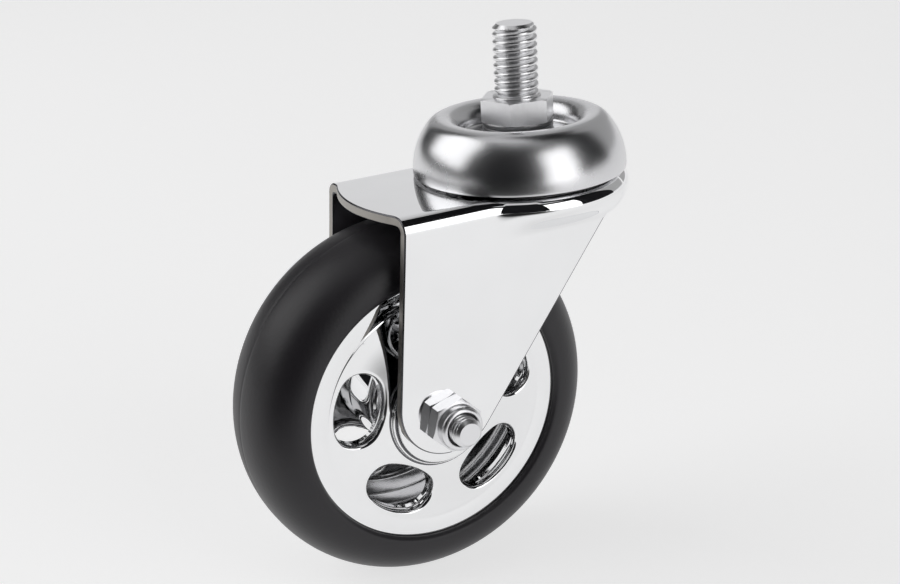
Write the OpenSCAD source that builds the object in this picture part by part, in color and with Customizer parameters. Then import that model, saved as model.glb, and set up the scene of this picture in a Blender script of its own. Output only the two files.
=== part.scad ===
// Swivel castor with a threaded stem, a domed ball swivel, a pressed fork
// and a steel-centred rubber wheel. The stem axis is Z, and the origin is
// where it meets the top face of the hexagon, against which the castor is
// screwed home. The wheel trails towards -X, and the axle lies along Y with
// its nut on the -Y side, called the near side.

/* [Stem] */
// Diameter over the thread crests
stem_d = 9; // [8:0.1:12]
// Length of thread above the hexagon
stem_len = 14.75; // [10:0.25:30]
// Chamfer at the end of the thread
stem_chamfer = 0.9; // [0.4:0.1:1.4]
// Across the flats of the hexagon
hex_af = 13.4; // [13:0.1:16]
// Height of the hexagon
hex_h = 4.7; // [4:0.1:6]
// Turn of the hexagon about the stem
hex_turn = 49; // [0:1:60]
// Diameter of the plain shank below the hexagon
shank_d = 8; // [7:0.1:9]
// Diameter of the riveted head at the foot of the shank
rivet_d = 12.4; // [11:0.1:15]
// Height of the riveted head
rivet_h = 2; // [1:0.1:3]
// Diameter of the washer under the hexagon
washer_d = 14.4; // [12:0.1:16]
// Thickness of the washer under the hexagon
washer_t = 3.3; // [2:0.1:3.6]

/* [Swivel cap] */
// Widest diameter of the domed cap
cap_d = 43.6; // [42:0.1:48]
// Height of the cap's crest above its floor
cap_crest_rise = 4.4; // [4:0.1:5.2]
// Diameter of the circle along the crest
crest_d = 31; // [28:0.1:32]
// Radius of the bend along the crest
crest_bend = 3.8; // [3.4:0.1:5]
// Height of the widest part above the cap's rim
cap_tuck = 0.5; // [0.3:0.1:1.9]
// Radius of the rolled rim
cap_rim_bend = 2; // [2:0.1:3]
// Sheet thickness of the cap
cap_t = 1.2; // [0.8:0.1:1.5]
// Depth from the hexagon's top face to the cap's rim
cap_rim_drop = 14.8; // [14.5:0.1:16]
// Gap between the cap's rim and the fork
cap_gap = 0.5; // [0.3:0.05:0.8]

/* [Ball races] */
// Diameter of the balls in both swivel races
race_ball_d = 4; // [3.6:0.1:4.2]
// Depth of the grooves the balls run in
groove_depth = 0.5; // [0.3:0.05:0.7]
// Diameter of the circle of the upper balls
upper_pitch_d = 25; // [22:0.2:27]
// Diameter of the circle of the lower balls
lower_pitch_d = 17; // [16.4:0.2:19]
// Number of balls in the upper race
upper_balls_n = 16; // [8:1:17]
// Number of balls in the lower race
lower_balls_n = 11; // [6:1:12]
// Thickness of the race rings
race_t = 1.8; // [1.5:0.1:2.2]
// Width of race ring outside the ball circle
race_margin = 3.2; // [2.6:0.1:3.6]

/* [Fork] */
// Gap between the inner faces of the legs
fork_gap = 30.5; // [30.2:0.1:34]
// Thickness of the fork's sheet
sheet_t = 2; // [1.6:0.1:2.4]
// Outer radius of the bends between the top plate and the legs
bend_r = 2.9; // [2.6:0.1:3.4]
// Distance from the stem axis back to the axle
swivel_offset = 28; // [26:0.5:32]
// Depth from the hexagon's top face to the axle
axle_drop = 57.8; // [57.5:0.1:66]
// Reach of the top plate from the stem axis to its rounded end
plate_reach = 38.2; // [36.5:0.1:44]
// Radius of the top plate's rounded end
plate_end_r = 31; // [24:1:80]
// Distance from the stem axis to the upper front corner of the legs
leg_reach = 35.3; // [34:0.1:36.2]
// Radius of the foot of each leg
foot_r = 10.6; // [9:0.1:12]
// Height of the foot's centre above the axle
foot_rise = 3.5; // [0:0.1:4]
// Widest diameter of the drawn crown
crown_d = 44.5; // [44:0.1:47]
// Depth of the crown's rear skirt below the top plate
crown_h = 7.1; // [6.5:0.1:10.5]
// Diameter of the rear skirt's lower edge
crown_foot_d = 39.6; // [38:0.1:42]

/* [Axle] */
// Diameter of the axle bolt
bolt_d = 6; // [5:0.1:6.4]
// Across the flats of the bolt head and nut
nut_af = 9.8; // [9.5:0.1:12]
// Height of the bolt head
head_h = 4; // [3:0.1:5]
// Height of the hexagonal part of the lock nut
nut_hex_h = 3.2; // [2.5:0.1:4]
// Height of the lock nut's round collar
nut_collar_h = 2.4; // [2:0.1:3.5]
// Length of bolt standing out of the nut
bolt_stand = 2.5; // [1:0.1:6]
// Chamfer at the end of the bolt
bolt_chamfer = 0.75; // [0.3:0.05:1]
// Turn of the nut's and head's hexagons
nut_turn = 16; // [0:1:60]

/* [Wheel] */
// Wheel diameter over the tread
wheel_d = 75; // [70:0.5:76]
// Width of the tyre at its widest
tyre_w = 25; // [24:0.1:27]
// Diameter of the steel rim under the tyre
rim_d = 56.6; // [54:0.2:58]
// Distance between the outer faces of the rim
rim_w = 22.4; // [20:0.1:23]
// Sheet thickness of the wheel discs
disc_t = 1.2; // [0.8:0.1:1.5]
// Width of the flat ring along the edge of each disc
rim_face_w = 4.3; // [3:0.1:4.4]
// How far the rubber laps in over the rounded edge of the rim
tyre_lap = 0.9; // [0.4:0.1:1.1]
// How far each disc is dished out at the hub
disc_dish = 1.7; // [1:0.1:2]
// Diameter of the hub barrel
hub_d = 20; // [18.5:0.1:21]
// Length of the hub barrel
hub_len = 29.5; // [28.4:0.1:29.8]
// Height of the barrel's shoulders between the discs
hub_step = 1; // [0.4:0.1:1.6]
// Height of the thick middle above those shoulders
hub_mid_rise = 0.6; // [0.2:0.1:1]
// Length of the barrel's thick middle
hub_mid_len = 9; // [4:0.5:14]

/* [Windows] */
// Number of windows in each disc
window_n = 5; // [3:1:5]
// Turn of the first window
window_turn = 22.2; // [0:0.1:72]
// Diameter of the circle of window centres
window_pitch_d = 34.7; // [34.5:0.1:35.1]
// Length of each window around the wheel
window_l = 14.8; // [12:0.1:16]
// Width of each window across the disc
window_w = 9.6; // [8.8:0.1:9.8]
// Radius of the window's ends
window_end_r = 4.3; // [3:0.1:4.3]
// Depth of the lip turned in round each window
lip_depth = 3.2; // [1.5:0.1:5]

/* [Wheel bearings] */
// Outer diameter of each ball bearing
bearing_d = 15; // [14:0.1:15.5]
// Width of each ball bearing
bearing_w = 5; // [4:0.1:6]
// Diameter of the bearing balls
bearing_ball_d = 2.5; // [2:0.1:2.6]
// Number of balls in each bearing
bearing_balls_n = 8; // [6:1:9]
// Wall of the outer and inner rings at their edges
ring_wall = 1.5; // [1.2:0.05:1.6]
// Depth of each bearing below the end of the barrel
bearing_inset = 0.5; // [0.2:0.1:1]

/* [Fits] */
// Radial clearance of parts pushed on to each other
push_gap = 0.05; // [0.02:0.01:0.1]
// Radial clearance of the shank in the fork
swivel_gap = 0.08; // [0.03:0.01:0.1]
// Clearance of the balls in their grooves
ball_gap = 0.1; // [0.05:0.01:0.2]

/* [Hidden] */
$fn = 96;

// Colours
chrome = "#c9ccd2";
satin = "#a9adb3";
zinc = "#b9bcc0";
steel = "#90949a";
rubber = "#1d1d1f";
nylon = "#26262a";

// Room for cuts that run past a face
past = 1;
// Step in from the crown's wide rim to the top of its rear skirt
skirt_in = 0.2;
// Step in from the legs' faces to the sides of the rear skirt
skirt_inset = 0.3;
// Step down from the top plate to the top of the crown's rim
rim_drop = 0.25;
// Lap of each leg's rear corner over the skirt's edge
leg_lap = 0.6;
// Lap of each leg's front corner past the plate's front edge
front_lap = 0.2;

// Heights down the stem
hex_low = -hex_h;
floor_top = hex_low - washer_t;
floor_low = floor_top - cap_t;
crest_z = floor_top + cap_crest_rise;
rim_z = -cap_rim_drop;
plate_top = rim_z - cap_gap;
plate_low = plate_top - sheet_t;
// Balls stand out of each groove by this much above their centre
ball_stand = race_ball_d / 2 - groove_depth;
upper_ball_z = plate_top + ball_stand;
lower_ball_z = plate_low - ball_stand;
upper_race_low = upper_ball_z + ball_stand;
lower_race_top = lower_ball_z - ball_stand;
lower_race_low = lower_race_top - race_t;
shank_low = lower_race_low - rivet_h;

// Section of the cap: crest bend, side bend and rolled rim
shank_r = shank_d / 2;
shank_hole_r = shank_r + push_gap;
cap_r = cap_d / 2;
crest_r = crest_d / 2;
crest_c = [crest_r, crest_z - crest_bend];
cap_wide_z = rim_z + cap_tuck;
side_u = cap_r - crest_r;
side_v = cap_wide_z - crest_c[1];
side_bend = (side_u * side_u + side_v * side_v - crest_bend * crest_bend)
    / (2 * (side_u - crest_bend));
side_c = [cap_r - side_bend, cap_wide_z];
side_join = atan2(-side_v, crest_r - side_c[0]);
rim_c = [cap_r - cap_rim_bend, cap_wide_z];
rim_angle = asin(cap_tuck / cap_rim_bend);

// Fork
fork_w = fork_gap + 2 * sheet_t;
plate_end_c = plate_end_r - plate_reach;
crown_r = crown_d / 2;
crown_low = plate_top - crown_h;
crown_foot_r = crown_foot_d / 2;
// Bend of the crown's belly, from its widest line to its lower edge
belly_z = plate_top - bend_r;
// Middle of the crown's wide rim, and the end of the plate's curved front
rim_mid = belly_z - rim_drop;
front_z = belly_z - 2 * rim_drop;
skirt_r = crown_r - skirt_in;
belly_h = belly_z - crown_low;
belly_in = skirt_r - crown_foot_r;
belly_bend = (belly_h * belly_h + belly_in * belly_in) / (2 * belly_in);
belly_angle = asin(belly_h / belly_bend);
// Where the leg's plane meets the skirt's lower edge
leg_rear_x = sqrt(pow(crown_foot_r, 2) - pow(fork_w / 2, 2));
foot_c = [-swivel_offset, foot_rise - axle_drop];
bolt_hole_r = bolt_d / 2 + push_gap;

// Nut
nut_h = nut_hex_h + nut_collar_h;
nut_y = fork_w / 2;
// Step in from the flats to the round collar, and its wall
collar_step = 0.35;
collar_wall = 0.6;
collar_r = nut_af / 2 - collar_step;
// The collar's mouth is this much wider than the bolt
collar_mouth = 0.4;
collar_lip_r = bolt_d / 2 + collar_mouth;
bolt_end = nut_y + nut_h + bolt_stand;

// Wheel
hub_r = hub_d / 2;
rim_r = rim_d / 2;
rim_y = rim_w / 2;
// Inner radius of the bend between the disc and its flange
rim_bend_in = 0.4;
rim_bend = disc_t + rim_bend_in;
rim_bend_c = [rim_r - rim_bend, rim_y - rim_bend];
window_r = window_pitch_d / 2;
face_in_r = rim_r - rim_bend - rim_face_w + disc_t;
collar_out_r = hub_r + push_gap + disc_t;
dish_y = rim_y + disc_dish;
disc_collar_h = 0.9;
tyre_r = wheel_d / 2;
// The tyre is widest just inside the rim's edge
bulge_in = 0.2;
tyre_bulge_r = rim_r - bulge_in;
tyre_power = 2.2;
// Step in from the tyre's side to its inner edge
tyre_lip = 0.9;
// Bearings lie at both ends of the barrel, behind a shoulder
bearing_out_y = hub_len / 2 - bearing_inset;
bearing_in_y = bearing_out_y - bearing_w;
bearing_r = bearing_d / 2;
outer_ring_in = bearing_r - ring_wall;
inner_ring_out = bolt_hole_r + ring_wall;
ball_orbit = (outer_ring_in + inner_ring_out) / 2;
shoulder_r = outer_ring_in;

// Points along an arc about c, from angle a to angle b
function arc(c, r, a, b, n = 12) =
    [for (i = [0 : n]) let (t = a + (b - a) * i / n) [c[0] + r * cos(t), c[1] + r * sin(t)]];

// A list of points taken backwards
function turned(p) = [for (i = [len(p) - 1 : -1 : 0]) p[i]];

// Quarter of the tyre's outline, from its widest point to the tread
function tyre_quarter(n = 18) =
    [for (i = [0 : n]) let (t = 90 * i / n)
        [tyre_bulge_r + (tyre_r - tyre_bulge_r) * pow(sin(t), 2 / tyre_power),
         tyre_w / 2 * pow(cos(t), 2 / tyre_power)]];

// Sets its children at the wheel's centre with the wheel's axis along Z,
// which then points to the near side
module at_wheel(side = 1)
    translate([-swivel_offset, 0, -axle_drop]) rotate([90 * side, 0, 0]) children();

// A flat ring whose axis is Z
module ring(r_out, r_in, z0, z1)
    rotate_extrude() translate([r_in, z0]) square([r_out - r_in, z1 - z0]);

// A hexagonal prism with its corners taken off by a cone at the chosen ends
module chamfered_hex(af, h, low, high) {
    corner = af / 2 / cos(30);
    cut = corner - af / 2;
    intersection() {
        cylinder(h = h, r = corner, $fn = 6);
        rotate_extrude()
            polygon([[0, 0], [corner - (low ? cut : 0), 0],
                [corner + past, (low ? (cut + past) * tan(30) : 0)],
                [corner + past, h - (high ? (cut + past) * tan(30) : 0)],
                [corner - (high ? cut : 0), h], [0, h]]);
    }
}

// A ring of balls about Z
module balls(n, pitch_r, d)
    for (i = [0 : n - 1]) rotate(360 * i / n) translate([pitch_r, 0, 0]) sphere(d = d, $fn = 32);

// Threaded stem, hexagon, plain shank and riveted foot, all one piece
module stem_stud() color(zinc) {
    r = stem_d / 2;
    rotate_extrude()
        polygon([[0, hex_low + past], [r, hex_low + past], [r, stem_len - stem_chamfer],
            [r - stem_chamfer, stem_len], [0, stem_len]]);
    translate([0, 0, hex_low]) rotate(hex_turn) chamfered_hex(hex_af, hex_h, true, true);
    rivet_r = rivet_d / 2;
    rotate_extrude()
        polygon([[0, hex_low + past], [shank_r, hex_low + past], [shank_r, lower_race_low],
            [rivet_r, lower_race_low], [rivet_r, shank_low + rivet_h / 2],
            [rivet_r - rivet_h / 2, shank_low], [0, shank_low]]);
}

// Round washer between the hexagon and the cap
module stem_washer() color(steel)
    ring(washer_d / 2, shank_hole_r, floor_top, hex_low);

// Domed cap drawn from sheet: flat floor, crest, side and rolled rim
module dome_cap() color(satin) {
    floor_angle = 180 - asin((floor_top - crest_c[1]) / crest_bend);
    inner_bend = crest_bend - cap_t;
    inner_angle = 180 - asin((floor_low - crest_c[1]) / inner_bend);
    outer = concat([[shank_hole_r, floor_top]],
        arc(crest_c, crest_bend, floor_angle, side_join, 20),
        arc(side_c, side_bend, side_join, 0),
        arc(rim_c, cap_rim_bend, -4, -rim_angle, 6));
    inner = concat([[shank_hole_r, floor_low]],
        arc(crest_c, inner_bend, inner_angle, side_join, 20),
        arc(side_c, side_bend - cap_t, side_join, 0),
        arc(rim_c, cap_rim_bend - cap_t, -4, -rim_angle, 6),
        [[rim_c[0] + (cap_rim_bend - cap_t) * cos(rim_angle), rim_z]]);
    rotate_extrude() polygon(concat(outer, turned(inner)));
}

// Upper race: its seat lies under the cap's floor and its outer ring is
// dished down on to the balls
module upper_race() color(steel) {
    flange_top = upper_race_low + race_t;
    flange_r = upper_pitch_d / 2 - race_margin;
    out_r = upper_pitch_d / 2 + race_margin;
    seat_r = flange_r - race_t;
    rotate_extrude() difference() {
        polygon([[shank_hole_r, floor_low], [seat_r, floor_low], [flange_r, flange_top],
            [out_r, flange_top], [out_r, upper_race_low], [flange_r - race_t / 2, upper_race_low],
            [seat_r - race_t / 2, floor_low - race_t], [shank_hole_r, floor_low - race_t]]);
        translate([upper_pitch_d / 2, upper_ball_z]) circle(race_ball_d / 2 + ball_gap);
    }
}

// Balls between the upper race and the fork's crown
module upper_balls() color(chrome)
    translate([0, 0, upper_ball_z]) balls(upper_balls_n, upper_pitch_d / 2, race_ball_d);

// Lower race, held by the riveted foot of the shank
module lower_race() color(steel)
    rotate_extrude() difference() {
        translate([shank_hole_r, lower_race_low])
            square([lower_pitch_d / 2 + race_margin - shank_hole_r, race_t]);
        translate([lower_pitch_d / 2, lower_ball_z]) circle(race_ball_d / 2 + ball_gap);
    }

// Balls between the fork's crown and the lower race
module lower_balls() color(chrome)
    translate([0, 0, lower_ball_z]) balls(lower_balls_n, lower_pitch_d / 2, race_ball_d);

// Cross-section of the folded channel: Y across, Z up, inset by one sheet
// for its inside
module channel_section(inset) {
    half = fork_w / 2 - inset;
    top = plate_top - inset;
    bend = bend_r - inset;
    low = foot_c[1] - foot_r - past;
    for (side = [-1, 1]) translate([side * (half - bend), top - bend]) circle(bend);
    translate([-half + bend, low]) square([2 * (half - bend), top - low]);
    translate([-half, low]) square([2 * half, top - bend - low]);
}

// Solid bar with the channel's section, between two places along X
module channel_bar(inset, x0, x1)
    translate([x0, 0, 0]) rotate([90, 0, 90]) linear_extrude(x1 - x0) channel_section(inset);

// Side outline of a leg: X across, Z up
module leg_outline() {
    front = [-leg_reach - front_lap, front_z + front_lap];
    rear = [leg_rear_x + leg_lap, crown_low - leg_lap / 2];
    front_d = front - foot_c;
    rear_d = rear - foot_c;
    // Directions from the foot's centre to the two tangent points
    front_a = atan2(front_d[1], front_d[0]) + acos(foot_r / norm(front_d));
    rear_a = atan2(rear_d[1], rear_d[0]) - acos(foot_r / norm(rear_d));
    translate(foot_c) circle(foot_r);
    polygon([foot_c, foot_c + foot_r * [cos(rear_a), sin(rear_a)], rear,
        [rear[0], plate_top + past], [-plate_reach - past, plate_top + past],
        [-plate_reach - past, front[1]], front,
        foot_c + foot_r * [cos(front_a), sin(front_a)]]);
}

// Half section of the crown's rim: a flat top and a round edge, inset by
// one sheet for its hollow
module rim_section(inset) {
    half = bend_r - inset;
    translate([crown_r - bend_r, rim_mid]) circle(half);
    translate([0, rim_mid - half]) square([crown_r - bend_r, 2 * half]);
}

// Half section of the skirt's belly below the widest line, inset by one
// sheet for its hollow, which runs out below
module belly_section(inset)
    polygon(concat([[0, belly_z]],
        arc([skirt_r - belly_bend, belly_z], belly_bend - inset, 0, -belly_angle, 10),
        [[crown_foot_r - inset * cos(belly_angle), crown_low - inset], [0, crown_low - inset]]));

// Block behind the stem axis, between two planes across, below the rim
module rear_block(half)
    translate([0, -half, crown_low - 2 * past])
        cube([2 * crown_r, 2 * half, belly_z - crown_low + 2 * past]);

// Block in front of the top plate's rounded end and of the legs' corners
module front_cutter()
    translate([0, 0, front_z]) linear_extrude(bend_r + past) difference() {
        translate([-plate_reach - 2 * past, -fork_w]) square([plate_reach, 2 * fork_w]);
        translate([plate_end_c, 0]) circle(plate_end_r);
        translate([-leg_reach, -fork_w - past]) square([plate_reach, 2 * (fork_w + past)]);
    }

// Pressed fork: top plate, two legs and the drawn crown with its rear
// skirt, one folded sheet
module fork() color(chrome) difference() {
    union() {
        difference() {
            intersection() {
                channel_bar(0, -plate_reach - past, leg_rear_x + 2 * leg_lap);
                rotate([90, 0, 0]) translate([0, 0, -fork_w])
                    linear_extrude(2 * fork_w) leg_outline();
            }
            front_cutter();
        }
        rotate_extrude() rim_section(0);
        intersection() {
            rotate_extrude() belly_section(0);
            rear_block(fork_w / 2 - skirt_inset);
            translate([0, 0, crown_low]) cylinder(h = crown_h, r = crown_r + past);
        }
    }
    channel_bar(sheet_t, -plate_reach - 2 * past, leg_rear_x + 3 * leg_lap);
    rotate_extrude() rim_section(sheet_t);
    intersection() {
        rotate_extrude() belly_section(sheet_t);
        rear_block(fork_gap / 2 - skirt_inset);
    }
    translate([0, 0, plate_low - past])
        cylinder(h = sheet_t + 2 * past, r = shank_r + swivel_gap);
    rotate_extrude() {
        translate([upper_pitch_d / 2, upper_ball_z]) circle(race_ball_d / 2 + ball_gap);
        translate([lower_pitch_d / 2, lower_ball_z]) circle(race_ball_d / 2 + ball_gap);
    }
    at_wheel() translate([0, 0, -fork_w]) cylinder(h = 2 * fork_w, r = bolt_hole_r);
}

// Axle bolt: hexagon head outside the far leg, chamfered end past the nut
module axle_bolt() color(zinc) at_wheel() {
    r = bolt_d / 2;
    rotate_extrude()
        polygon([[0, -nut_y - past], [r, -nut_y - past], [r, bolt_end - bolt_chamfer],
            [r - bolt_chamfer, bolt_end], [0, bolt_end]]);
    translate([0, 0, -nut_y]) rotate([180, 0, 0]) rotate(-nut_turn)
        chamfered_hex(nut_af, head_h, false, true);
}

// Lock nut with a round collar rolled in over its nylon ring
module lock_nut() color(zinc) at_wheel() difference() {
    union() {
        translate([0, 0, nut_y]) rotate(nut_turn) chamfered_hex(nut_af, nut_hex_h, true, true);
        translate([0, 0, nut_y + nut_hex_h - past])
            cylinder(h = nut_collar_h + past - collar_wall, r = collar_r);
        translate([0, 0, nut_y + nut_h - collar_wall])
            cylinder(h = collar_wall, r1 = collar_r, r2 = collar_r - collar_wall);
    }
    translate([0, 0, nut_y - past]) cylinder(h = nut_h + 2 * past, r = bolt_hole_r);
    translate([0, 0, nut_y + nut_hex_h])
        cylinder(h = nut_collar_h - collar_wall, r = collar_r - collar_wall);
    translate([0, 0, nut_y + nut_hex_h]) cylinder(h = nut_collar_h + past, r = collar_lip_r);
}

// Nylon ring inside the lock nut's collar
module nylon_ring() color(nylon) at_wheel()
    ring(collar_r - collar_wall - push_gap, bolt_hole_r, nut_y + nut_hex_h,
        nut_y + nut_h - collar_wall - push_gap);

// Spacer between a leg and the bearing's inner ring
module side_spacer(side) color(steel) at_wheel(side)
    ring(inner_ring_out, bolt_hole_r, bearing_out_y, fork_gap / 2);
module side_spacer_near() side_spacer(1);
module side_spacer_far() side_spacer(-1);

// Tube on the bolt between the two inner rings
module centre_spacer() color(steel) at_wheel()
    ring(inner_ring_out, bolt_hole_r, -bearing_in_y, bearing_in_y);

// Groove of a bearing ring
module ball_track()
    translate([ball_orbit, (bearing_in_y + bearing_out_y) / 2]) circle(bearing_ball_d / 2 + ball_gap);

// Inner ring of a ball bearing, clamped on the bolt
module bearing_inner(side) color(chrome) at_wheel(side) rotate_extrude() difference() {
    translate([bolt_hole_r, bearing_in_y]) square([ring_wall, bearing_w]);
    ball_track();
}
module bearing_inner_near() bearing_inner(1);
module bearing_inner_far() bearing_inner(-1);

// Outer ring of a ball bearing, pushed into the barrel
module bearing_outer(side) color(chrome) at_wheel(side) rotate_extrude() difference() {
    translate([outer_ring_in, bearing_in_y]) square([ring_wall, bearing_w]);
    ball_track();
}
module bearing_outer_near() bearing_outer(1);
module bearing_outer_far() bearing_outer(-1);

// Balls of one bearing
module bearing_balls(side) color(chrome) at_wheel(side)
    translate([0, 0, (bearing_in_y + bearing_out_y) / 2])
        balls(bearing_balls_n, ball_orbit, bearing_ball_d);
module bearing_balls_near() bearing_balls(1);
module bearing_balls_far() bearing_balls(-1);

// Hub barrel: bored at both ends for the bearings, stepped down outside
// for the discs, which seat on its shoulders
module hub_barrel() color(chrome) at_wheel() {
    half = hub_len / 2;
    seat_r = bearing_r + push_gap;
    shoulder_y = dish_y - disc_t - push_gap;
    mid = hub_mid_len / 2;
    right = [[hub_r, half], [hub_r, shoulder_y], [hub_r + hub_step, shoulder_y],
        [hub_r + hub_step, mid], [hub_r + hub_step + hub_mid_rise, mid]];
    bore = [[shoulder_r, bearing_in_y], [seat_r, bearing_in_y], [seat_r, half]];
    rotate_extrude()
        polygon(concat(right, [for (p = turned(right)) [p[0], -p[1]]],
            [for (p = turned(bore)) [p[0], -p[1]]], bore));
}

// Oval made of four arcs: two ends and two long sides, grown by a margin
module oval(l, w, end_r, grow = 0) {
    a = l / 2 - end_r;
    b = w / 2;
    side_r = (a * a + b * b - end_r * end_r) / (2 * (b - end_r));
    join = a * side_r / (side_r - end_r);
    reach = join * (side_r + grow) / side_r + (a - a * side_r / (side_r - end_r)) * grow / side_r;
    intersection() {
        translate([0, b - side_r]) circle(side_r + grow);
        translate([0, side_r - b]) circle(side_r + grow);
        square([2 * reach, 2 * side_r], center = true);
    }
    for (side = [-1, 1]) translate([side * a, 0]) circle(end_r + grow);
}

// Bars with the windows' outline, through the disc on one side
module window_bars(side, grow, z0, z1)
    for (i = [0 : window_n - 1]) rotate(side * (360 * i / window_n + window_turn))
        translate([window_r, 0, z0]) linear_extrude(z1 - z0)
            rotate(90) oval(window_l, window_w, window_end_r, grow);

// Pressed wheel disc: collar on the barrel, dished web, flat edge ring and
// the flange that carries the tyre, with lips turned in round the windows
module wheel_disc(side) color(chrome) at_wheel(side) {
    web_in = [collar_out_r, dish_y];
    web_out = [face_in_r, rim_y];
    inner_r = rim_r - disc_t;
    flange_top = dish_y + disc_collar_h;
    difference() {
        union() {
            rotate_extrude()
                polygon(concat([[hub_r + push_gap, flange_top], [collar_out_r, flange_top],
                        web_in, web_out],
                    arc(rim_bend_c, rim_bend, 90, 0, 6), [[rim_r, 0], [inner_r, 0]],
                    arc(rim_bend_c, rim_bend_in, 0, 90, 4),
                    [[face_in_r, rim_y - disc_t], [collar_out_r, dish_y - disc_t],
                     [hub_r + push_gap, dish_y - disc_t]]));
            intersection() {
                window_bars(side, disc_t, 0, dish_y);
                rotate_extrude()
                    polygon([[hub_r + push_gap, dish_y - disc_t / 2], [face_in_r, rim_y - disc_t / 2],
                        [inner_r, rim_y - disc_t / 2], [inner_r, rim_y - lip_depth],
                        [face_in_r, rim_y - lip_depth], [hub_r + push_gap, dish_y - lip_depth]]);
            }
        }
        window_bars(side, 0, 0, dish_y + past);
    }
}
module wheel_disc_near() wheel_disc(1);
module wheel_disc_far() wheel_disc(-1);

// Solid rubber tyre moulded on the two flanges and lapped in round the
// discs' edges
module tyre() color(rubber) at_wheel() {
    lap_angle = acos((rim_bend - tyre_lap) / (rim_bend + push_gap));
    half = concat(arc(rim_bend_c, rim_bend + push_gap, 0, lap_angle, 6),
        [[rim_r - tyre_lap, tyre_w / 2 - tyre_lip]], tyre_quarter());
    rotate_extrude()
        polygon(concat(half, [for (p = turned(half)) [p[0], -p[1]]]));
}

stem_stud();
stem_washer();
dome_cap();
upper_race();
upper_balls();
lower_race();
lower_balls();
fork();
axle_bolt();
lock_nut();
nylon_ring();
side_spacer_near();
side_spacer_far();
centre_spacer();
bearing_inner_near();
bearing_inner_far();
bearing_outer_near();
bearing_outer_far();
bearing_balls_near();
bearing_balls_far();
hub_barrel();
wheel_disc_near();
wheel_disc_far();
tyre();
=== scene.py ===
import math

import bmesh
import bpy
from mathutils import Matrix, Vector


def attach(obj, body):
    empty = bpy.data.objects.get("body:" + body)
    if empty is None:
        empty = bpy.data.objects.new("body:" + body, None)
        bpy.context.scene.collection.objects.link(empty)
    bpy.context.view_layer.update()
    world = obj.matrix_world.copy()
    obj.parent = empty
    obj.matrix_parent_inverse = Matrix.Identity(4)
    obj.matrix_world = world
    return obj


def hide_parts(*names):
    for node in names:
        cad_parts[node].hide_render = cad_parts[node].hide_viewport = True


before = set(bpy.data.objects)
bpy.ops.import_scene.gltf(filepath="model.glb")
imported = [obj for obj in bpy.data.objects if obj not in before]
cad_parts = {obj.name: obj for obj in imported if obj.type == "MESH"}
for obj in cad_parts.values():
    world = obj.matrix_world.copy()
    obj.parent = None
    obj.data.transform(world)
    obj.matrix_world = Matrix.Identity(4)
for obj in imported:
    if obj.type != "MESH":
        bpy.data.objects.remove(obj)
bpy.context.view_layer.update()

# Camera: the photograph looks down on the castor from its front left, with
# a long lens and the camera turned a little about its own line of sight.
azimuth, elevation, roll = math.radians(-27.30), math.radians(20.26), math.radians(-3.19)
lens, camera_place = 63.41, (-0.1573, -0.2707, 0.0741)
back = Vector((
    math.sin(azimuth) * math.cos(elevation),
    -math.cos(azimuth) * math.cos(elevation),
    math.sin(elevation),
))
level = Vector((math.cos(azimuth), math.sin(azimuth), 0))
upright = back.cross(level)
across = level * math.cos(roll) + upright * math.sin(roll)
upward = upright * math.cos(roll) - level * math.sin(roll)
camera = bpy.data.objects.new("camera", bpy.data.cameras.new("camera"))
bpy.context.scene.collection.objects.link(camera)
camera.data.lens = lens
camera.data.sensor_width = 36
camera.data.clip_start, camera.data.clip_end = 0.01, 20
turn = Matrix((across, upward, back)).transposed().to_4x4()
camera.matrix_world = Matrix.Translation(camera_place) @ turn
bpy.context.scene.camera = camera


# Threaded stem: cold-headed steel, zinc plated, one piece with its hexagon
# and the plain shank, whose foot is riveted over below the fork. The thread
# is rolled: its crests are rounded and its first turns taper to the end.
def add_node(tree, kind, sockets=(), **options):
    """Adds a shader node, sets its options and then its sockets."""
    made = tree.nodes.new("ShaderNode" + kind)
    for option, value in options.items():
        setattr(made, option, value)
    for name, value in dict(sockets).items():
        made.inputs[name].default_value = value
    return made


def surface(name, darker, lighter, rough, spread, patches, grain, grain_size, detail, streak=(1, 1, 1)):
    """A material whose tint and sheen drift in patches, with a fine grain that breaks up what it mirrors."""
    material = bpy.data.materials.new(name)
    material.use_nodes = True
    tree = material.node_tree
    shader = tree.nodes["Principled BSDF"]
    place = add_node(tree, "TexCoord")
    drift = add_node(tree, "TexNoise", {"Scale": patches, "Detail": detail + 1})
    tree.links.new(place.outputs["Object"], drift.inputs["Vector"])
    shine = add_node(tree, "MapRange", {"To Min": max(rough - spread, 0.01), "To Max": rough + spread})
    tree.links.new(drift.outputs["Fac"], shine.inputs["Value"])
    tree.links.new(shine.outputs["Result"], shader.inputs["Roughness"])
    tint = add_node(tree, "Mix", {"A": (*darker, 1), "B": (*lighter, 1)}, data_type="RGBA")
    tree.links.new(drift.outputs["Fac"], tint.inputs["Factor"])
    tree.links.new(tint.outputs["Result"], shader.inputs["Base Color"])
    lie = add_node(tree, "Mapping", {"Scale": streak})
    tree.links.new(place.outputs["Object"], lie.inputs["Vector"])
    fine = add_node(tree, "TexNoise", {"Scale": grain_size, "Detail": detail})
    tree.links.new(lie.outputs["Vector"], fine.inputs["Vector"])
    bump = add_node(tree, "Bump", {"Strength": grain, "Distance": 0.0001})
    tree.links.new(fine.outputs["Fac"], bump.inputs["Height"])
    tree.links.new(bump.outputs["Normal"], shader.inputs["Normal"])
    return material


def plated(name, colour, rough, spread, grain, grain_size, streak=(1, 1, 1)):
    """A plated, ground or polished metal."""
    darker = [c * 0.93 for c in colour]
    metal = surface(name, darker, colour, rough, spread, 90, grain, grain_size, 3, streak)
    metal.node_tree.nodes["Principled BSDF"].inputs["Metallic"].default_value = 1
    return metal


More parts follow.
